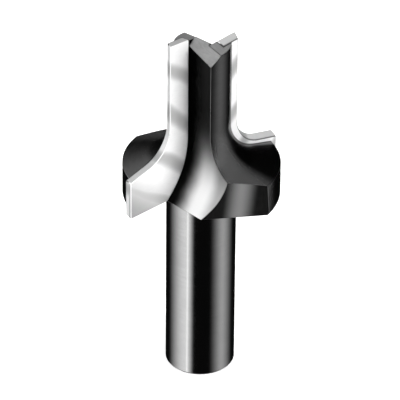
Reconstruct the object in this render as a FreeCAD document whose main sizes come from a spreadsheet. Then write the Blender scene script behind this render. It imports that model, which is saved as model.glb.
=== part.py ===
import FreeCAD, Part
import os
import Sketcher

# Two-flute carbide-tipped router bit with a straight nose, a concave corner and a sloping shoulder.
# It stands on the end face of its shank: the origin is the centre of that face, +Z runs along the
# axis to the cutting end, and the wings lie along X. The bit turns anticlockwise seen from +Z.
# Lengths are millimetres and angles are degrees.

DOCUMENT = FreeCAD.newDocument("router_bit")

# Driving dimensions: name, value
SIZES = (
    ("shank_diameter", "12.7"),
    ("shank_length", "36.5"),
    ("shank_end_chamfer", "0.4"),
    ("overall_length", "68.8"),
    ("nose_cut_diameter", "12.7"),
    ("shoulder_cut_diameter", "31"),
    ("shoulder_edge_height", "7.7"),
    ("shoulder_slope", "14.3"),
    ("corner_radius", "6.7"),
    ("nose_steel_diameter", "10.2"),
    ("shoulder_steel_diameter", "28.5"),
    ("steel_rim_height", "6.72"),
    ("steel_corner_radius", "7"),
    ("steel_slope", "17.6"),
    ("rim_bevel_width", "0.25"),
    ("rim_bevel_height", "0.45"),
    ("rake_offset", "1.75"),
    ("tip_thickness", "1.8"),
    ("nose_relief_angle", "26"),
    ("shoulder_relief_angle", "12"),
    ("end_dish_angle", "3.3"),
    ("end_clearance_angle", "8.5"),
    ("end_step", "0.1"),
    ("braze_thickness", "0.12"),
    ("half_web", "1.6"),
    ("flute_exit_reach", "6.6"),
    ("flute_runout_radius", "16"),
    ("flute_overrun", "1"),
    ("flute_drop_angle", "9"),
    ("flute_skew_angle", "5.4"),
    ("gash_slope", "45.5"),
    ("gash_turn_angle", "7"),
    ("gash_ridge_drop", "0.1"),
    ("heel_offset", "9"),
    ("heel_angle", "34.3"),
    ("heel_tilt", "5"),
    ("cutter_overtravel", "8"),
)

# Places worked out from the driving dimensions: name, formula
PLACES = (
    ("shank_radius", "Sizes.shank_diameter / 2"),
    ("chamfer_radius", "shank_radius - Sizes.shank_end_chamfer"),
    ("nose_steel_radius", "Sizes.nose_steel_diameter / 2"),
    ("shoulder_steel_radius", "Sizes.shoulder_steel_diameter / 2"),
    ("steel_rim_z", "Sizes.shank_length + Sizes.steel_rim_height"),
    ("steel_corner_centre_x", "nose_steel_radius + Sizes.steel_corner_radius"),
    ("steel_corner_foot_x",
     "steel_corner_centre_x - Sizes.steel_corner_radius * sin(Sizes.steel_slope)"),
    ("steel_corner_foot_z",
     "steel_rim_z + (shoulder_steel_radius - steel_corner_foot_x) * tan(Sizes.steel_slope)"),
    ("steel_corner_centre_z",
     "steel_corner_foot_z + Sizes.steel_corner_radius * cos(Sizes.steel_slope)"),
    ("rim_bevel_x", "shoulder_steel_radius - Sizes.rim_bevel_width"),
    ("rim_bevel_z", "Sizes.shank_length + Sizes.rim_bevel_height"),
    ("nose_edge_x", "sqrt((Sizes.nose_cut_diameter / 2)^2 - Sizes.rake_offset^2)"),
    ("shoulder_edge_x", "sqrt((Sizes.shoulder_cut_diameter / 2)^2 - Sizes.rake_offset^2)"),
    ("shoulder_edge_z", "Sizes.shank_length + Sizes.shoulder_edge_height"),
    ("corner_centre_x", "nose_edge_x + Sizes.corner_radius"),
    ("corner_foot_x", "corner_centre_x - Sizes.corner_radius * sin(Sizes.shoulder_slope)"),
    ("corner_foot_z",
     "shoulder_edge_z + (shoulder_edge_x - corner_foot_x) * tan(Sizes.shoulder_slope)"),
    ("corner_centre_z", "corner_foot_z + Sizes.corner_radius * cos(Sizes.shoulder_slope)"),
    ("nose_back_x", "nose_edge_x - Sizes.tip_thickness * tan(Sizes.nose_relief_angle)"),
    ("shoulder_back_x",
     "shoulder_edge_x - Sizes.tip_thickness * tan(Sizes.shoulder_relief_angle)"),
    ("shoulder_back_z",
     "shoulder_edge_z - Sizes.tip_thickness * tan(Sizes.shoulder_relief_angle)"),
    ("back_corner_radius",
     "Sizes.corner_radius + Sizes.tip_thickness * tan(Sizes.shoulder_relief_angle)"),
    ("back_centre_x", "nose_back_x + back_corner_radius"),
    ("back_foot_x", "back_centre_x - back_corner_radius * sin(Sizes.shoulder_slope)"),
    ("back_foot_z", "shoulder_back_z + (shoulder_back_x - back_foot_x) * tan(Sizes.shoulder_slope)"),
    ("back_centre_z", "back_foot_z + back_corner_radius * cos(Sizes.shoulder_slope)"),
    ("flute_centre_x", "Sizes.half_web + Sizes.flute_runout_radius"),
    ("flute_exit_run", "flute_centre_x - Sizes.flute_exit_reach"),
    ("flute_centre_z", "Sizes.shank_length + sqrt(Sizes.flute_runout_radius^2 - flute_exit_run^2)"),
    ("flute_foot_z", "Sizes.shank_length - Sizes.flute_overrun"),
    ("flute_foot_x",
     "flute_centre_x - sqrt(Sizes.flute_runout_radius^2 - (flute_centre_z - flute_foot_z)^2)"),
    ("tip_inner_radius", "Sizes.flute_runout_radius - Sizes.braze_thickness"),
    ("tip_inner_x", "Sizes.half_web + Sizes.braze_thickness"),
    ("tip_foot_x",
     "flute_centre_x - sqrt(tip_inner_radius^2 - (flute_centre_z - Sizes.shank_length)^2)"),
    ("tip_inner_z",
     "Sizes.overall_length - (nose_edge_x - tip_inner_x) * tan(Sizes.end_dish_angle)"),
    ("end_drop", "Sizes.tip_thickness * tan(Sizes.end_clearance_angle)"),
    ("tip_back_z",
     "tip_inner_z + (nose_back_x - tip_inner_x) * tan(Sizes.end_dish_angle) - end_drop"),
    ("tip_back_inner_z", "tip_inner_z - end_drop"),
    ("tip_back_plane", "Sizes.rake_offset + Sizes.tip_thickness"),
    ("seat_depth", "Sizes.tip_thickness + Sizes.braze_thickness"),
    ("cutter_reach", "shoulder_steel_radius + Sizes.cutter_overtravel"),
    ("cutter_top_z", "Sizes.overall_length + Sizes.cutter_overtravel"),
    ("cutter_length", "2 * cutter_reach"),
    ("dish_rise", "cutter_reach * tan(Sizes.end_dish_angle)"),
    ("end_plane_z",
     "Sizes.overall_length - Sizes.end_step - nose_edge_x * tan(Sizes.end_dish_angle)"),
    ("end_right_z", "end_plane_z + dish_rise"),
    ("end_left_z", "end_plane_z - dish_rise"),
    ("gash_ridge_z", "Sizes.overall_length - Sizes.gash_ridge_drop"),
    ("gash_fall", "tan(Sizes.gash_slope) * cos(Sizes.gash_turn_angle)"),
    ("gash_side_fall", "tan(Sizes.gash_slope) * sin(Sizes.gash_turn_angle)"),
    ("gash_plane_z", "gash_ridge_z + Sizes.rake_offset * gash_side_fall"),
    ("gash_left_x", "0 - Sizes.cutter_overtravel"),
    ("gash_left_z", "gash_plane_z + Sizes.cutter_overtravel * gash_fall"),
    ("gash_right_z", "gash_plane_z - cutter_reach * gash_fall"),
    ("gash_top_z", "gash_left_z + Sizes.cutter_overtravel"),
    ("cutter_left_x", "0 - cutter_reach"),
    ("heel_rise", "cutter_top_z - Sizes.shank_length"),
    ("heel_y", "0 - Sizes.heel_offset - heel_rise * tan(Sizes.heel_tilt)"),
    ("heel_far_y", "heel_y - cutter_reach"),
    ("heel_depth", "(cutter_top_z - flute_foot_z) / cos(Sizes.heel_tilt)"),
)


def fill_sheet(name, rows, lead=""):
    sheet = DOCUMENT.addObject("Spreadsheet::Sheet", name)
    for number, (alias, content) in enumerate(rows, start=1):
        sheet.set(f"A{number}", alias)
        sheet.set(f"B{number}", lead + content)
        sheet.setAlias(f"B{number}", alias)
    DOCUMENT.recompute()
    return sheet


sizes_sheet = fill_sheet("Sizes", SIZES)
places_sheet = fill_sheet("Places", PLACES, lead="=")
PLACE_NAMES = {alias for alias, formula in PLACES}


def value(alias):
    """The number behind a name of either sheet."""
    sheet = places_sheet if alias in PLACE_NAMES else sizes_sheet
    return float(sheet.get(alias))


def cell(alias):
    """The expression that reads that number."""
    return f"Places.{alias}" if alias in PLACE_NAMES else f"Sizes.{alias}"


def point(x, z):
    return FreeCAD.Vector(value(x), value(z), 0)


def new_body(label, angle=0):
    body = DOCUMENT.addObject("PartDesign::Body", label)
    body.Label = label
    body.Placement = FreeCAD.Placement(FreeCAD.Vector(), FreeCAD.Rotation(FreeCAD.Vector(0, 0, 1), angle))
    return body


def origin_feature(body, role):
    return next(part for part in body.Origin.OriginFeatures if part.Role == role)


def new_sketch(body, name, role, offset=None, turn=0):
    sketch = body.newObject("Sketcher::SketchObject", name)
    sketch.AttachmentSupport = (origin_feature(body, role), [""])
    sketch.MapMode = "FlatFace"
    turned = FreeCAD.Rotation(FreeCAD.Vector(0, 0, 1), turn)
    sketch.AttachmentOffset = FreeCAD.Placement(FreeCAD.Vector(), turned)
    if offset:
        sketch.setExpression("AttachmentOffset.Base.z", cell(offset))
    return sketch


def hold(sketch, kind, name, alias, *where):
    """One named dimension of a sketch, driven by a cell."""
    index = sketch.addConstraint(Sketcher.Constraint(kind, *where, value(alias)))
    sketch.renameConstraint(index, name)
    sketch.setExpression(f"Constraints.{name}", cell(alias))


def pin(sketch, edge, end, x, z):
    """Places one end of an edge by two cells; None leaves that coordinate to the other rules."""
    for kind, alias, axis in (("DistanceX", x, "x"), ("DistanceY", z, "z")):
        if alias == "zero":
            line = -2 if axis == "x" else -1
            sketch.addConstraint(Sketcher.Constraint("PointOnObject", edge, end, line))
        elif alias:
            hold(sketch, kind, f"{axis}_{edge}_{end}", alias, -1, 1, edge, end)


def closed_polygon(sketch, corners):
    """Straight edges through corners given as pairs of cell names."""
    count = len(corners)
    spots = []
    for corner in corners:
        across, up = (0 if alias == "zero" else value(alias) for alias in corner)
        spots.append(FreeCAD.Vector(across, up, 0))
    for number in range(count):
        sketch.addGeometry(Part.LineSegment(spots[number], spots[(number + 1) % count]), False)
    for number in range(count):
        sketch.addConstraint(Sketcher.Constraint("Coincident", number, 2, (number + 1) % count, 1))
    for number, corner in enumerate(corners):
        pin(sketch, number, 1, *corner)


def arc_between(centre, radius, first, last):
    """The short arc about a centre from one point to another, anticlockwise in the sketch."""
    circle = Part.Circle(centre, FreeCAD.Vector(0, 0, 1), radius)
    return Part.ArcOfCircle(circle, circle.parameter(first), circle.parameter(last))


def pocket(body, name, sketch, direction=None, length="cutter_length"):
    feature = body.newObject("PartDesign::Pocket", name)
    feature.Profile = sketch
    feature.Type = "Length"
    feature.Length = value(length)
    feature.setExpression("Length", cell(length))
    feature.UseCustomVector = True
    feature.AlongSketchNormal = False
    feature.Direction = direction
    return feature


def revolve(body, name, sketch):
    feature = body.newObject("PartDesign::Revolution", name)
    feature.Profile = sketch
    feature.ReferenceAxis = (origin_feature(body, "Z_Axis"), [""])
    feature.Angle = 360
    return feature


def head_profile(body):
    """Half section of the turned head: underside, bevel, rim, sloping shoulder, corner, nose."""
    sketch = new_sketch(body, "head_section", "XZ_Plane")
    underside_axis = FreeCAD.Vector(0, value("shank_length"), 0)
    bevel_foot = point("rim_bevel_x", "shank_length")
    rim_foot = point("shoulder_steel_radius", "rim_bevel_z")
    rim_top = point("shoulder_steel_radius", "steel_rim_z")
    foot = point("steel_corner_foot_x", "steel_corner_foot_z")
    centre = point("steel_corner_centre_x", "steel_corner_centre_z")
    nose_foot = point("nose_steel_radius", "steel_corner_centre_z")
    nose_top = point("nose_steel_radius", "overall_length")
    top_axis = FreeCAD.Vector(0, value("overall_length"), 0)
    radius = value("steel_corner_radius")
    lower = ((underside_axis, bevel_foot), (bevel_foot, rim_foot), (rim_foot, rim_top), (rim_top, foot))
    for start, end in lower:
        sketch.addGeometry(Part.LineSegment(start, end), False)
    sketch.addGeometry(arc_between(centre, radius, nose_foot, foot), False)
    for start, end in ((nose_foot, nose_top), (nose_top, top_axis), (top_axis, underside_axis)):
        sketch.addGeometry(Part.LineSegment(start, end), False)
    joins = ((0, 2, 1, 1), (1, 2, 2, 1), (2, 2, 3, 1), (5, 2, 6, 1), (6, 2, 7, 1), (7, 2, 0, 1))
    for join in joins:
        sketch.addConstraint(Sketcher.Constraint("Coincident", *join))
    sketch.addConstraint(Sketcher.Constraint("Tangent", 3, 2, 4, 2))
    sketch.addConstraint(Sketcher.Constraint("Tangent", 4, 1, 5, 1))
    sketch.addConstraint(Sketcher.Constraint("Vertical", 5))
    hold(sketch, "Radius", "corner_radius", "steel_corner_radius", 4)
    pin(sketch, 0, 1, "zero", "shank_length")
    pin(sketch, 0, 2, "rim_bevel_x", "shank_length")
    pin(sketch, 1, 2, "shoulder_steel_radius", "rim_bevel_z")
    pin(sketch, 2, 2, "shoulder_steel_radius", "steel_rim_z")
    pin(sketch, 4, 2, "steel_corner_foot_x", None)
    pin(sketch, 5, 2, "nose_steel_radius", "overall_length")
    pin(sketch, 6, 2, "zero", "overall_length")
    return sketch


def flute_profile(body, name):
    """Side view of the space cut in front of the rake plane, with its round run-out."""
    sketch = new_sketch(body, name, "XZ_Plane", "rake_offset")
    top_inner = point("half_web", "cutter_top_z")
    arc_top = point("half_web", "flute_centre_z")
    foot = point("flute_foot_x", "flute_foot_z")
    centre = point("flute_centre_x", "flute_centre_z")
    foot_outer = point("cutter_reach", "flute_foot_z")
    top_outer = point("cutter_reach", "cutter_top_z")
    sketch.addGeometry(Part.LineSegment(top_inner, arc_top), False)
    sketch.addGeometry(arc_between(centre, value("flute_runout_radius"), arc_top, foot), False)
    for start, end in ((foot, foot_outer), (foot_outer, top_outer), (top_outer, top_inner)):
        sketch.addGeometry(Part.LineSegment(start, end), False)
    sketch.addConstraint(Sketcher.Constraint("Tangent", 0, 2, 1, 1))
    for join in ((1, 2, 2, 1), (2, 2, 3, 1), (3, 2, 4, 1), (4, 2, 0, 1)):
        sketch.addConstraint(Sketcher.Constraint("Coincident", *join))
    hold(sketch, "Radius", "runout_radius", "flute_runout_radius", 1)
    pin(sketch, 0, 1, "half_web", "cutter_top_z")
    pin(sketch, 0, 2, "half_web", "flute_centre_z")
    pin(sketch, 1, 2, None, "flute_foot_z")
    pin(sketch, 2, 2, "cutter_reach", "flute_foot_z")
    pin(sketch, 3, 2, "cutter_reach", "cutter_top_z")
    return sketch


def make_blank():
    """The turned and milled steel, before the two seats are cut for the carbide."""
    body = new_body("fluted_blank")
    head = revolve(body, "turned_head", head_profile(body))

    flute = pocket(body, "flute", flute_profile(body, "flute_side"), FreeCAD.Vector(0, 1, 0))
    flute.setExpression("Direction.x", "tan(Sizes.flute_skew_angle)")
    flute.setExpression("Direction.z", "0 - tan(Sizes.flute_drop_angle)")

    heel_sketch = new_sketch(body, "heel_plan", "XY_Plane", "cutter_top_z", -value("heel_angle"))
    heel_sketch.setExpression("AttachmentOffset.Rotation.Angle", "0 - Sizes.heel_angle")
    closed_polygon(heel_sketch, (
        ("cutter_left_x", "heel_far_y"),
        ("cutter_reach", "heel_far_y"),
        ("cutter_reach", "heel_y"),
        ("cutter_left_x", "heel_y"),
    ))
    heel = pocket(body, "heel", heel_sketch, FreeCAD.Vector(0, 0, -1), "heel_depth")
    heel.setExpression("Direction.x", "sin(Sizes.heel_angle) * tan(Sizes.heel_tilt)")
    heel.setExpression("Direction.y", "cos(Sizes.heel_angle) * tan(Sizes.heel_tilt)")

    end_sketch = new_sketch(body, "end_line", "XZ_Plane", "rake_offset")
    closed_polygon(end_sketch, (
        ("cutter_left_x", "end_left_z"),
        ("cutter_reach", "end_right_z"),
        ("cutter_reach", "gash_top_z"),
        ("cutter_left_x", "gash_top_z"),
    ))
    end_cut = pocket(body, "end_clearance", end_sketch, FreeCAD.Vector(0, -1, 0))
    end_cut.setExpression("Direction.z", "0 - tan(Sizes.end_clearance_angle)")

    gash_sketch = new_sketch(body, "gash_line", "XZ_Plane", "rake_offset")
    closed_polygon(gash_sketch, (
        ("gash_left_x", "gash_left_z"),
        ("cutter_reach", "gash_right_z"),
        ("cutter_reach", "gash_top_z"),
        ("gash_left_x", "gash_top_z"),
    ))
    gash = pocket(body, "end_gash", gash_sketch, FreeCAD.Vector(0, 1, 0))
    gash.setExpression("Direction.z", "0 - Places.gash_side_fall")
    DOCUMENT.recompute()

    both = body.newObject("PartDesign::PolarPattern", "second_wing")
    both.Originals = [flute, heel, end_cut, gash]
    both.Axis = (origin_feature(body, "Z_Axis"), [""])
    both.Angle = 360
    both.Occurrences = 2
    body.Tip = both
    DOCUMENT.recompute()

    shank_sketch = new_sketch(body, "shank_section", "XZ_Plane")
    closed_polygon(shank_sketch, (
        ("zero", "zero"),
        ("chamfer_radius", "zero"),
        ("shank_radius", "shank_end_chamfer"),
        ("shank_radius", "shank_length"),
        ("zero", "shank_length"),
    ))
    body.Tip = revolve(body, "shank", shank_sketch)
    DOCUMENT.recompute()
    return body


def tip_outline(body, name, plane, top_inner_z, top_outer_z, nose_x, corner, shoulder_x, shoulder_z):
    """Outline of one face of a carbide tip; corner names the radius, centre x, centre z and foot x, z."""
    radius, centre_x, centre_z, foot_x, foot_z = corner
    sketch = new_sketch(body, name, "XZ_Plane", plane)
    top_inner = point("tip_inner_x", top_inner_z)
    top_outer = point(nose_x, top_outer_z)
    corner_top = point(nose_x, centre_z)
    corner_foot = point(foot_x, foot_z)
    shoulder_top = point(shoulder_x, shoulder_z)
    shoulder_foot = point(shoulder_x, "shank_length")
    inner_foot = point("tip_foot_x", "shank_length")
    inner_arc_top = point("tip_inner_x", "flute_centre_z")
    corner_arc = arc_between(point(centre_x, centre_z), value(radius), corner_top, corner_foot)
    inner_centre = point("flute_centre_x", "flute_centre_z")
    inner_arc = arc_between(inner_centre, value("tip_inner_radius"), inner_arc_top, inner_foot)
    sketch.addGeometry(Part.LineSegment(top_inner, top_outer), False)
    sketch.addGeometry(Part.LineSegment(top_outer, corner_top), False)
    sketch.addGeometry(corner_arc, False)
    sketch.addGeometry(Part.LineSegment(corner_foot, shoulder_top), False)
    sketch.addGeometry(Part.LineSegment(shoulder_top, shoulder_foot), False)
    sketch.addGeometry(Part.LineSegment(shoulder_foot, inner_foot), False)
    sketch.addGeometry(inner_arc, False)
    sketch.addGeometry(Part.LineSegment(inner_arc_top, top_inner), False)
    for join in ((0, 2, 1, 1), (3, 2, 4, 1), (4, 2, 5, 1), (5, 2, 6, 2), (7, 2, 0, 1)):
        sketch.addConstraint(Sketcher.Constraint("Coincident", *join))
    for join in ((1, 2, 2, 1), (2, 2, 3, 1), (6, 1, 7, 1)):
        sketch.addConstraint(Sketcher.Constraint("Tangent", *join))
    sketch.addConstraint(Sketcher.Constraint("Vertical", 1))
    hold(sketch, "Radius", "corner_radius", radius, 2)
    hold(sketch, "Radius", "inner_radius", "tip_inner_radius", 6)
    pin(sketch, 0, 1, "tip_inner_x", top_inner_z)
    pin(sketch, 0, 2, nose_x, top_outer_z)
    pin(sketch, 2, 2, foot_x, None)
    pin(sketch, 3, 2, shoulder_x, shoulder_z)
    pin(sketch, 4, 2, shoulder_x, "shank_length")
    pin(sketch, 5, 2, None, "shank_length")
    pin(sketch, 6, 1, "tip_inner_x", "flute_centre_z")
    return sketch


def make_tip(label, angle):
    """One ground carbide tip: its rake face in front, its smaller back face behind."""
    body = new_body(label, angle)
    corner = ("corner_radius", "corner_centre_x", "corner_centre_z", "corner_foot_x", "corner_foot_z")
    front = tip_outline(body, "rake_face", "rake_offset", "tip_inner_z", "overall_length",
                        "nose_edge_x", corner, "shoulder_edge_x", "shoulder_edge_z")
    corner = ("back_corner_radius", "back_centre_x", "back_centre_z", "back_foot_x", "back_foot_z")
    back = tip_outline(body, "back_face", "tip_back_plane", "tip_back_inner_z", "tip_back_z",
                       "nose_back_x", corner, "shoulder_back_x", "shoulder_back_z")
    loft = body.newObject("PartDesign::AdditiveLoft", "ground_tip")
    loft.Profile = front
    loft.Sections = [back]
    loft.Ruled = True
    body.Tip = loft
    return body


def make_seat(label, angle):
    """The slot that a tip and its braze fill, from the rake plane back."""
    body = new_body(label, angle)
    pad = body.newObject("PartDesign::Pad", "slot")
    pad.Profile = flute_profile(body, "slot_side")
    pad.Type = "Length"
    pad.Length = value("seat_depth")
    pad.setExpression("Length", cell("seat_depth"))
    body.Tip = pad
    return body


def boolean(kind, label, base, tool):
    result = DOCUMENT.addObject(f"Part::{kind}", label)
    result.Label = label
    result.Base = base
    result.Tool = tool
    return result


def build():
    """Every separate piece of the bit, in the order in which it would be made."""
    blank = make_blank()
    steel = blank
    pieces = []
    for side, angle in (("right", 0), ("left", 180)):
        tip = make_tip(f"carbide_tip_{side}", angle)
        seat = make_seat(f"seat_{side}", angle)
        filled = boolean("Common", f"filled_seat_{side}", blank, seat)
        seam = boolean("Cut", f"braze_seam_{side}", filled, tip)
        last = "steel_body" if side == "left" else "steel_with_one_seat"
        steel = boolean("Cut", last, steel, seat)
        pieces += [tip, seam]
    pieces.insert(0, steel)
    DOCUMENT.recompute()
    return pieces


def check_and_write(pieces):
    for item in DOCUMENT.Objects:
        if {"Invalid", "Error"} & set(item.State):
            raise RuntimeError(f"{item.Label} did not build: {item.State}")
    for piece in pieces:
        shape = piece.Shape
        if shape.isNull() or not shape.isValid() or len(shape.Solids) != 1:
            raise RuntimeError(f"{piece.Label} is not one valid solid")
    os.makedirs("parts", exist_ok=True)
    for piece in pieces:
        piece.Shape.exportStep(f"parts/{piece.Label}.step")
        print(piece.Label, round(piece.Shape.Volume, 2), "mm3")


check_and_write(build())
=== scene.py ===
import math
import random

import bmesh
import bpy
from mathutils import Matrix, Vector


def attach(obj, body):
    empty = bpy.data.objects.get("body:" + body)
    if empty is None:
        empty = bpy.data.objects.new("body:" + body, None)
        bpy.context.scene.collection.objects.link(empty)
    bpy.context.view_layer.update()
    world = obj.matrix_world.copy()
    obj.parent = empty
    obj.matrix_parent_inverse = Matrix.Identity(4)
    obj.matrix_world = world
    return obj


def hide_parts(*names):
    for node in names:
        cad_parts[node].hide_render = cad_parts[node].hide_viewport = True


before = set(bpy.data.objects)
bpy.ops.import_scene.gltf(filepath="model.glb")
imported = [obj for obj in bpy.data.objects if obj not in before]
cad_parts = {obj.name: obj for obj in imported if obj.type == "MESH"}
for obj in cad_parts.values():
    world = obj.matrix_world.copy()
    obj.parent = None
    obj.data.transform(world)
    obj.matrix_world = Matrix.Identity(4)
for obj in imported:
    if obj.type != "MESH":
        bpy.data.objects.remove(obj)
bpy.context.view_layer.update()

MM = 0.001

# Camera, fitted to the photograph: where the point TARGET lands, from how far, and from which side
IMAGE = 400
TARGET = Vector((0, 0, 40 * MM))
TARGET_PIXEL = (201.44, 175.7)
CAMERA_AZIMUTH = -42.6
CAMERA_ELEVATION = 33.5
CAMERA_DISTANCE = 0.710
FOCAL_PIXELS = 3944
CAMERA_ROLL = -0.55
SENSOR = 36.0

# Sizes of the solids, in millimetres, for telling one surface from another
SHANK_RADIUS = 6.35
HEAD_FOOT = 36.5
NOSE_RADIUS = 5.1
RAKE_PLANE = 1.75
TIP_BACK = 3.55
SHOULDER_RADIUS = 14.25
RIM_TOP = 43.22
CORNER_RADIUS = 7.0
SHOULDER_SLOPE = math.radians(17.6)
HEEL_ANGLE = math.radians(-124.3)
HEEL_TILT = math.radians(5)
END_LOWEST = 62.0

# How the copies of the solids are dressed
SAME_POINT = 0.0005 * MM
SAME_PLANE = math.radians(0.05)
SHARP = math.radians(22)
STEEL_EASE = 0.07
TIP_EASE = 0.14

# The bead of braze, in millimetres
BEAD_START = 0.05
BEAD_STEP = 0.005
BEAD_RANGE = (0.04, 0.07)
BEAD_SIDES = 8

# Spacing of the grey streaks painted as reflections on the lapped carbide, in millimetres, and where they start
REFLECTION_STREAK_PITCH = 9.5
REFLECTION_STREAK_PHASE = 0.2

# Half the floor's side and the wall's radius, in metres
FLOOR_HALF = 3.0
WALL_RADIUS = 2.6


def direction(azimuth, elevation):
    """Unit vector towards a place in the studio: azimuth 0 is at -Y and grows towards +X."""
    a, e = math.radians(azimuth), math.radians(elevation)
    return Vector((math.sin(a) * math.cos(e), -math.cos(a) * math.cos(e), math.sin(e)))


def make_camera():
    """The photograph's camera: turned and rolled so that TARGET lands on TARGET_PIXEL."""
    back = direction(CAMERA_AZIMUTH, CAMERA_ELEVATION)
    right = Vector((0, 0, 1)).cross(back).normalized()
    up = back.cross(right)
    roll = math.radians(CAMERA_ROLL)
    turned_right = right * math.cos(roll) - up * math.sin(roll)
    turned_up = right * math.sin(roll) + up * math.cos(roll)
    across = (TARGET_PIXEL[0] - IMAGE / 2) / FOCAL_PIXELS
    above = (IMAGE / 2 - TARGET_PIXEL[1]) / FOCAL_PIXELS
    new_back = (back + turned_right * across + turned_up * above).normalized()
    new_right = turned_up.cross(new_back).normalized()
    new_up = new_back.cross(new_right)
    data = bpy.data.cameras.new("camera")
    data.sensor_width = SENSOR
    data.lens = SENSOR * FOCAL_PIXELS / IMAGE
    data.clip_start = 0.01
    data.clip_end = 50
    camera = bpy.data.objects.new("camera", data)
    bpy.context.scene.collection.objects.link(camera)
    spot = TARGET + back * CAMERA_DISTANCE
    basis = Matrix((new_right, new_up, new_back)).transposed().to_4x4()
    camera.matrix_world = Matrix.Translation(spot) @ basis
    bpy.context.scene.camera = camera


class Graph:
    """A node tree under construction."""

    def __init__(self, tree):
        self.tree = tree
        tree.nodes.clear()

    def add(self, kind, inputs=None, **settings):
        node = self.tree.nodes.new(kind)
        for name, setting in settings.items():
            setattr(node, name, setting)
        for name, source in (inputs or {}).items():
            self.feed(node.inputs[name], source)
        return node

    def feed(self, socket, source):
        if isinstance(source, bpy.types.Node):
            source = source.outputs[0]
        if isinstance(source, bpy.types.NodeSocket):
            self.tree.links.new(source, socket)
        else:
            socket.default_value = source

    def math(self, operation, *values):
        return self.add("ShaderNodeMath", dict(enumerate(values)), operation=operation)

    def vector(self, operation, *values):
        return self.add("ShaderNodeVectorMath", dict(enumerate(values)), operation=operation)

    def ramp(self, value, low, high, to_low=0.0, to_high=1.0, kind="SMOOTHSTEP"):
        return self.add("ShaderNodeMapRange",
                        {"Value": value, "From Min": low, "From Max": high, "To Min": to_low, "To Max": to_high},
                        interpolation_type=kind)

    def noise(self, place, scale, detail=2.0, roughness=0.5):
        return self.add("ShaderNodeTexNoise",
                        {"Vector": place, "Scale": scale, "Detail": detail, "Roughness": roughness}).outputs["Fac"]

    def stretched(self, place, x, y, z):
        return self.vector("MULTIPLY", place, (x, y, z))


# Studio: what the metal mirrors, by bearing from the camera's side and by elevation, both in degrees.
# ROOM is the dark between the cards. Each card: bearing from and to, elevation from and to, softness of its
# left side, right side, and top and bottom, and brightness.
ROOM = 0.004
CARDS = (
    (-88, -32, -90, -4, 40, 12, 10, 1.15),
    (-46, -42, -90, -8, 2, 2, 8, 0.7),
    (57, 100, -90, 0, 27, 32, 14, 0.62),
    (-128, -66, -8, 44, 14, 16, 12, 1.2),
    (-178, -140, 30, 60, 14, 14, 12, 0.8),
    (126, 176, 62, 90, 12, 12, 7, 0.65),
    (0, 66, 26, 60, 15, 16, 12, 0.75),
)


def make_world():
    """Soft cards all round, as light for the metal to mirror."""
    world = bpy.data.worlds.new("studio")
    bpy.context.scene.world = world
    world.use_nodes = True
    g = Graph(world.node_tree)
    look = g.add("ShaderNodeTexCoord").outputs["Generated"]
    bearing = math.radians(CAMERA_AZIMUTH)
    towards = g.vector("DOT_PRODUCT", look, (math.sin(bearing), -math.cos(bearing), 0)).outputs["Value"]
    rightwards = g.vector("DOT_PRODUCT", look, (math.cos(bearing), math.sin(bearing), 0)).outputs["Value"]
    upwards = g.vector("DOT_PRODUCT", look, (0, 0, 1)).outputs["Value"]
    around = g.math("DEGREES", g.math("ARCTAN2", rightwards, towards))
    high = g.math("DEGREES", g.math("ARCSINE", upwards))
    total = ROOM
    for first, last, low, top, left_soft, right_soft, soft, level in CARDS:
        middle, half = (first + last) / 2, (last - first) / 2
        away = g.math("WRAP", g.math("SUBTRACT", around, middle), 180.0, -180.0)
        left = g.ramp(away, -half - left_soft, -half + left_soft)
        right = g.ramp(away, half - right_soft, half + right_soft, 1.0, 0.0)
        bottom = g.ramp(high, low - soft, low + soft)
        ceiling = g.ramp(high, top - soft, top + soft, 1.0, 0.0)
        mask = g.math("MULTIPLY", g.math("MULTIPLY", left, right), g.math("MULTIPLY", bottom, ceiling))
        total = g.math("ADD", g.math("MULTIPLY", mask, float(level)), total)
    background = g.add("ShaderNodeBackground", {"Color": (1, 1, 1, 1), "Strength": total})
    g.add("ShaderNodeOutputWorld", {"Surface": background})


def make_floor():
    """White paper under the bit."""
    mesh = bpy.data.meshes.new("floor")
    corners = [(side * FLOOR_HALF, end * FLOOR_HALF, 0) for side, end in ((-1, -1), (1, -1), (1, 1), (-1, 1))]
    mesh.from_pydata(corners, [], [(0, 1, 2, 3)])
    floor = bpy.data.objects.new("floor", mesh)
    bpy.context.scene.collection.objects.link(floor)
    floor.location.z = -0.02 * MM
    floor.visible_glossy = False
    material = bpy.data.materials.new("paper")
    material.use_nodes = True
    g = Graph(material.node_tree)
    shader = g.add("ShaderNodeBsdfPrincipled", {
        "Base Color": (0.9, 0.9, 0.9, 1),
        "Roughness": 0.9,
        "Specular IOR Level": 0.1,
        "Emission Color": (1, 1, 1, 1),
        "Emission Strength": 0.5,
    })
    g.add("ShaderNodeOutputMaterial", {"Surface": shader})
    mesh.materials.append(material)


def make_backdrop():
    """A plain pale wall all round, which only the camera sees."""
    mesh = bpy.data.meshes.new("backdrop")
    bm = bmesh.new()
    bmesh.ops.create_uvsphere(bm, u_segments=48, v_segments=24, radius=WALL_RADIUS)
    bm.to_mesh(mesh)
    bm.free()
    wall = bpy.data.objects.new("backdrop", mesh)
    bpy.context.scene.collection.objects.link(wall)
    wall.visible_glossy = False
    wall.visible_diffuse = False
    wall.visible_shadow = False
    material = bpy.data.materials.new("backdrop_paper")
    material.use_nodes = True
    g = Graph(material.node_tree)
    place = g.add("ShaderNodeTexCoord").outputs["Object"]
    tone = g.ramp(g.noise(place, 1.5, 2.0, 0.5), 0.2, 0.8, 0.66, 0.7, "LINEAR")
    shader = g.add("ShaderNodeEmission", {"Color": tone, "Strength": 1.0})
    g.add("ShaderNodeOutputMaterial", {"Surface": shader})
    mesh.materials.append(material)


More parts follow.
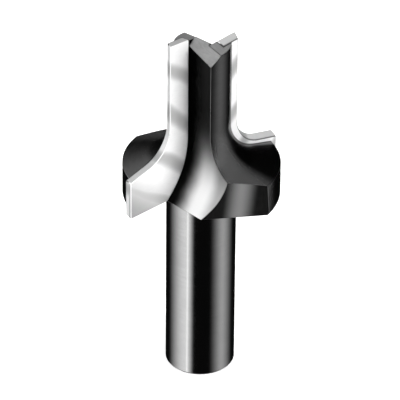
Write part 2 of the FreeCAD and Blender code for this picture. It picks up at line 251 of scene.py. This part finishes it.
def make_light(name, azimuth, elevation, distance, size, power):
    """A soft round window that lights the dull finishes, and that nothing mirrors."""
    data = bpy.data.lights.new(name, "AREA")
    data.shape = "DISK"
    data.size = size
    data.energy = power
    light = bpy.data.objects.new(name, data)
    bpy.context.scene.collection.objects.link(light)
    way = direction(azimuth, elevation)
    light.location = way * distance + TARGET
    light.rotation_mode = "QUATERNION"
    light.rotation_quaternion = way.to_track_quat("Z", "Y")
    light.visible_glossy = False


def grey(level):
    return (level, level, level, 1)


def metal(name, dark, light, roughness, spread, grain, metallic=1.0, bump=0.12, painted_light_and_shade=None, specular=0.5,
          tint=1.0):
    """Ground or turned metal.

    grain is the stretch of its tool marks along X, Y and Z, per metre. The function passed for painted light and
    shade gives where light or shade is painted into the colour, from 0 to 1, the grey painted there, and how much
    less metallic it is there.
    """
    material = bpy.data.materials.new(name)
    material.use_nodes = True
    g = Graph(material.node_tree)
    place = g.add("ShaderNodeTexCoord").outputs["Object"]
    marks = g.noise(g.stretched(place, *grain), 1.0, 3.0, 0.6)
    cloud = g.noise(place, 300.0, 3.0, 0.55)
    tone = g.math("ADD", g.math("MULTIPLY", marks, 0.55), g.math("MULTIPLY", cloud, 0.45))
    tone = g.ramp(tone, 0.3, 0.7, kind="LINEAR")
    colour = g.add("ShaderNodeMix", {"Factor": tone, "A": grey(dark), "B": grey(light)}, data_type="RGBA")
    colour = colour.outputs["Result"]
    if painted_light_and_shade:
        # Painted light and shade: a grey mixed into the base colour where the function says, and less metallic
        # there.
        amount, other, dull = painted_light_and_shade(g, place)
        colour = g.add("ShaderNodeMix", {"Factor": amount, "A": colour, "B": grey(other)}, data_type="RGBA")
        colour = colour.outputs["Result"]
        if dull:
            metallic = g.math("SUBTRACT", metallic, g.math("MULTIPLY", amount, dull))
    rough = g.ramp(g.math("ADD", g.math("MULTIPLY", marks, 0.5), g.math("MULTIPLY", cloud, 0.5)), 0.3, 0.7,
                   roughness - spread, roughness + spread, "LINEAR")
    shader = g.add("ShaderNodeBsdfPrincipled", {
        "Base Color": colour,
        "Metallic": metallic,
        "Roughness": rough,
        "Specular IOR Level": specular,
        "Specular Tint": grey(tint),
    })
    if bump:
        bumps = g.add("ShaderNodeBump", {"Strength": bump, "Distance": 0.004 * MM, "Height": marks})
        material.node_tree.links.new(bumps.outputs["Normal"], shader.inputs["Normal"])
    g.add("ShaderNodeOutputMaterial", {"Surface": shader})
    return material


def millimetres(g, place):
    """X, Y and Z of a place, in millimetres."""
    parts = g.add("ShaderNodeSeparateXYZ", {"Vector": g.vector("MULTIPLY", place, (1000, 1000, 1000))})
    return parts.outputs["X"], parts.outputs["Y"], parts.outputs["Z"]


def flute_painted_highlight(g, place):
    """Black in the flute's straight part and next to the carbide, and a pale painted highlight where the cutter
    ran out.
    """
    x, y, z = millimetres(g, place)
    depth = g.math("ADD", g.math("MULTIPLY", y, g.math("SIGN", x)), RAKE_PLANE)
    wander = g.math("SUBTRACT", g.noise(place, 300.0, 2.0, 0.5), 0.5)
    depth = g.math("ADD", depth, wander)
    away = g.math("POWER", g.ramp(depth, 0.8, 5.6), 1.4)
    fade = g.math("SUBTRACT", 1.0, g.math("MULTIPLY", g.ramp(depth, 7.0, 10.0), 0.45))
    low = g.math("POWER", g.ramp(z, 55.0, 39.5), 1.7)
    low = g.math("ADD", g.math("MULTIPLY", low, 0.97), 0.03)
    return g.math("MULTIPLY", g.math("MULTIPLY", away, fade), low), 0.94, 0.4


def heel_painted_highlight(g, place):
    """Painted highlight: a paler band across each heel, leaning a little."""
    x, y, z = millimetres(g, place)
    way = HEEL_ANGLE + math.pi / 2
    along = g.math("ADD", g.math("MULTIPLY", x, math.cos(way)), g.math("MULTIPLY", y, math.sin(way)))
    centre = g.math("ADD", g.math("MULTIPLY", g.math("SUBTRACT", z, 39.5), 0.08), 5.6)
    off = g.math("ABSOLUTE", g.math("SUBTRACT", g.math("ABSOLUTE", along), centre))
    return g.ramp(off, 3.2, 0.0), 0.17, 0.0


def head_painted_highlight(g, place):
    """Painted highlight: the shoulder's slope painted dull grey in front of each neck, as the turned rings
    catching light.
    """
    x, y, z = millimetres(g, place)
    bearing = g.math("ABSOLUTE", g.math("SUBTRACT", g.math("DIVIDE", x, y), 0.02))
    band = g.math("MULTIPLY", g.ramp(bearing, 0.5, 0.0), g.ramp(z, 53.0, 46.0))
    weaker_at_the_rim = g.ramp(z, 40.6, 43.5, 0.45, 1.0)
    return g.math("MULTIPLY", band, weaker_at_the_rim), 0.075, 0.55


def tip_painted_light(g, place):
    """Painted light: slanting grey streaks as painted reflections; painted shade on outer corners, tops and backs.
    """
    x, y, z = millimetres(g, place)
    out = g.math("ABSOLUTE", x)
    behind = g.math("ABSOLUTE", y)
    # Painted reflections: soft slanting grey streaks across the carbide.
    slant = g.math("ADD", z, g.math("MULTIPLY", out, -0.8))
    wander = g.math("MULTIPLY", g.math("SUBTRACT", g.noise(place, 150.0, 1.0, 0.4), 0.5), 3.0)
    turn = g.math("MULTIPLY", g.math("ADD", slant, wander), 2 * math.pi / REFLECTION_STREAK_PITCH)
    wave = g.math("SINE", g.math("ADD", turn, REFLECTION_STREAK_PHASE))
    painted_streaks = g.math("MULTIPLY", g.ramp(wave, 0.0, 1.1), 0.72)
    # Painted shade: greyer towards the outer lower corners of the rake faces.
    corner = g.math("SUBTRACT", out, g.math("MULTIPLY", z, 1.1))
    corner = g.math("MULTIPLY", g.ramp(corner, -40.0, -26.0), 0.95)
    corner = g.math("MULTIPLY", corner, g.ramp(behind, 2.6, 2.0))
    # Painted shade: upward faces painted greyer, more so high up.
    normal = g.add("ShaderNodeTexCoord").outputs["Normal"]
    up = g.add("ShaderNodeSeparateXYZ", {"Vector": normal}).outputs["Z"]
    top = g.math("MULTIPLY", g.ramp(up, 0.3, 1.0), g.ramp(z, 50.0, 60.0, 0.33, 0.5))
    # Painted shade: the backs of the tips painted a little greyer.
    back = g.ramp(behind, 3.0, 3.5, 0.0, 0.16)
    amount = g.math("ADD", g.math("MAXIMUM", g.math("MAXIMUM", painted_streaks, corner), top), back)
    return amount, 0.28, 0.0


def tip_edge_painted_shade(g, place):
    """Cutting edges stay bright; the edges behind them are painted dark, as painted shade."""
    x, y, z = millimetres(g, place)
    return g.ramp(g.math("ABSOLUTE", y), 2.3, 2.9), 0.12, 0.0


def turned_radius(z):
    """Radius of the turned head at a height, all in millimetres."""
    centre_x = NOSE_RADIUS + CORNER_RADIUS
    foot_x = centre_x - CORNER_RADIUS * math.sin(SHOULDER_SLOPE)
    foot_z = RIM_TOP + (SHOULDER_RADIUS - foot_x) * math.tan(SHOULDER_SLOPE)
    centre_z = foot_z + CORNER_RADIUS * math.cos(SHOULDER_SLOPE)
    if z >= centre_z:
        return NOSE_RADIUS
    if z >= foot_z:
        return centre_x - math.sqrt(max(0, CORNER_RADIUS ** 2 - (centre_z - z) ** 2))
    if z >= RIM_TOP:
        return SHOULDER_RADIUS - (z - RIM_TOP) / math.tan(SHOULDER_SLOPE)
    return SHOULDER_RADIUS


def steel_zone(centre, normal):
    """Which finish a face of the steel has, as its place in STEEL_FINISHES."""
    x, y, z = centre / MM
    radius = math.hypot(x, y)
    if z < HEAD_FOOT - 0.05 and radius < SHANK_RADIUS + 0.1:
        return SHANK
    if normal.z < -0.95:
        return HEAD
    if normal.z > 0.5 and z > END_LOWEST:
        return END
    heel = Vector((math.cos(HEEL_ANGLE), math.sin(HEEL_ANGLE), 0))
    facing = abs(normal.dot(heel)) / math.cos(HEEL_TILT)
    if abs(facing - 1) < 0.001 and abs(normal.z + math.sin(HEEL_TILT)) < 0.01 and radius > 8:
        return HEEL
    around = Vector((-y, x, 0)) / max(radius, 1e-6)
    slack = 0.32 if RIM_TOP < z < 52 or z < 37.2 else 0.12
    if abs(normal.dot(around)) < 0.03 and abs(radius - turned_radius(z)) < slack:
        return HEAD
    return FLUTE


def dressed(node, name, materials, zone, width):
    """A finer copy of a CAD node: joined faces, edges eased in the last of the materials, and a finish for
    each kind of surface."""
    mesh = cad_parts[node].data.copy()
    mesh.name = name
    mesh.materials.clear()
    for material in materials:
        mesh.materials.append(material)
    bm = bmesh.new()
    bm.from_mesh(mesh)
    bmesh.ops.remove_doubles(bm, verts=bm.verts, dist=SAME_POINT)
    bm.normal_update()
    for face in bm.faces:
        face.smooth = True
        face.material_index = zone(face.calc_center_median(), face.normal) if zone else 0
    bmesh.ops.dissolve_limit(bm, angle_limit=SAME_PLANE, verts=bm.verts, edges=bm.edges, delimit={"MATERIAL"})
    for edge in bm.edges:
        edge.smooth = edge.calc_face_angle(0) < SHARP
    bm.to_mesh(mesh)
    bm.free()
    if "custom_normal" in mesh.attributes:
        mesh.attributes.remove(mesh.attributes["custom_normal"])
    piece = bpy.data.objects.new(name, mesh)
    bpy.context.scene.collection.objects.link(piece)
    ease = piece.modifiers.new("eased_edges", "BEVEL")
    ease.width = width * MM
    ease.segments = 2
    ease.limit_method = "ANGLE"
    ease.angle_limit = SHARP
    ease.use_clamp_overlap = False
    ease.material = len(materials) - 1
    level = piece.modifiers.new("true_normals", "WEIGHTED_NORMAL")
    level.weight = 100
    level.keep_sharp = True
    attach(piece, "root")
    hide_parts(node)


def fillet_path():
    """Where the steel meets the back of the right tip, from the shoulder's foot to the nose, in millimetres."""
    points = []
    z = HEAD_FOOT + 0.2
    while z < 68.0:
        radius = turned_radius(z)
        points.append(Vector((math.sqrt(radius ** 2 - TIP_BACK ** 2), -TIP_BACK, z)))
        z += 0.12 if 43.0 < z < 52 else 0.4
    return points


def make_fillet(name, half_turn, material):
    """The uneven bead of braze in the corner between the steel and the back of a tip."""
    random.seed(7 if half_turn else 3)
    path = fillet_path()
    bm = bmesh.new()
    rings = []
    size = BEAD_START
    for number, spot in enumerate(path):
        ahead = path[min(number + 1, len(path) - 1)]
        behind = path[max(number - 1, 0)]
        along = (ahead - behind).normalized()
        side = along.cross(Vector((0, 1, 0))).normalized()
        size += random.uniform(-BEAD_STEP, BEAD_STEP)
        size = min(max(size, BEAD_RANGE[0]), BEAD_RANGE[1])
        ring = []
        for corner in range(BEAD_SIDES):
            a = 2 * math.pi * corner / BEAD_SIDES
            offset = side * math.cos(a) * size + Vector((0, 1, 0)) * math.sin(a) * size
            ring.append(bm.verts.new((spot + offset) * MM))
        rings.append(ring)
    for first, second in zip(rings, rings[1:]):
        for corner in range(BEAD_SIDES):
            after = (corner + 1) % BEAD_SIDES
            bm.faces.new((first[corner], first[after], second[after], second[corner]))
    bm.faces.new(rings[0])
    bm.faces.new(list(reversed(rings[-1])))
    bmesh.ops.recalc_face_normals(bm, faces=bm.faces)
    if half_turn:
        bmesh.ops.rotate(bm, verts=bm.verts, cent=(0, 0, 0), matrix=Matrix.Rotation(math.pi, 3, "Z"))
    for face in bm.faces:
        face.smooth = True
    mesh = bpy.data.meshes.new(name)
    bm.to_mesh(mesh)
    bm.free()
    mesh.materials.append(material)
    piece = bpy.data.objects.new(name, mesh)
    bpy.context.scene.collection.objects.link(piece)
    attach(piece, "root")


bpy.context.scene.view_settings.view_transform = "Standard"
make_camera()
make_world()
make_floor()
make_backdrop()
make_light("overhead", 20, 75, 1.2, 1.0, 11)
make_light("left_window", -80, 30, 0.9, 0.6, 5)
make_light("front_window", 12, 12, 0.9, 0.6, 9.3)

shank_steel = metal("shank_steel", 0.5, 0.58, 0.13, 0.03, (300, 300, 5200), bump=0.06)
head_steel = metal("head_steel", 0.13, 0.17, 0.24, 0.03, (500, 500, 4200), bump=0.06, painted_light_and_shade=head_painted_highlight,
                   specular=0.0)
flute_steel = metal("flute_steel", 0.004, 0.008, 0.45, 0.04, (500, 3800, 1500), bump=0, painted_light_and_shade=flute_painted_highlight,
                    specular=0.0, tint=0.2)
end_steel = metal("end_steel", 0.24, 0.36, 0.45, 0.06, (4800, 900, 900), metallic=0.55)
heel_steel = metal("heel_steel", 0.004, 0.01, 0.3, 0.04, (3500, 3500, 500), metallic=0.35, bump=0.08,
                   painted_light_and_shade=heel_painted_highlight, specular=0.0, tint=0.0)
edge_steel = metal("edge_steel", 0.2, 0.28, 0.3, 0.05, (900, 900, 900))
carbide = metal("ground_carbide", 0.84, 0.92, 0.34, 0.04, (700, 700, 3800), metallic=0.4, painted_light_and_shade=tip_painted_light)
carbide_edge = metal("carbide_edge", 0.9, 0.97, 0.3, 0.05, (900, 900, 900), metallic=0.4, painted_light_and_shade=tip_edge_painted_shade)
braze = metal("silver_braze", 0.06, 0.12, 0.42, 0.08, (1500, 1500, 1500), metallic=0.9)

STEEL_FINISHES = (shank_steel, head_steel, flute_steel, end_steel, heel_steel, edge_steel)
SHANK, HEAD, FLUTE, END, HEEL = range(5)

dressed("steel_body", "steel_dressed", STEEL_FINISHES, steel_zone, STEEL_EASE)
for side in ("right", "left"):
    dressed(f"carbide_tip_{side}", f"carbide_{side}_dressed", (carbide, carbide_edge), None, TIP_EASE)
    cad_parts[f"braze_seam_{side}"].material_slots[0].material = braze
    make_fillet(f"braze_fillet_{side}", side == "left", braze)
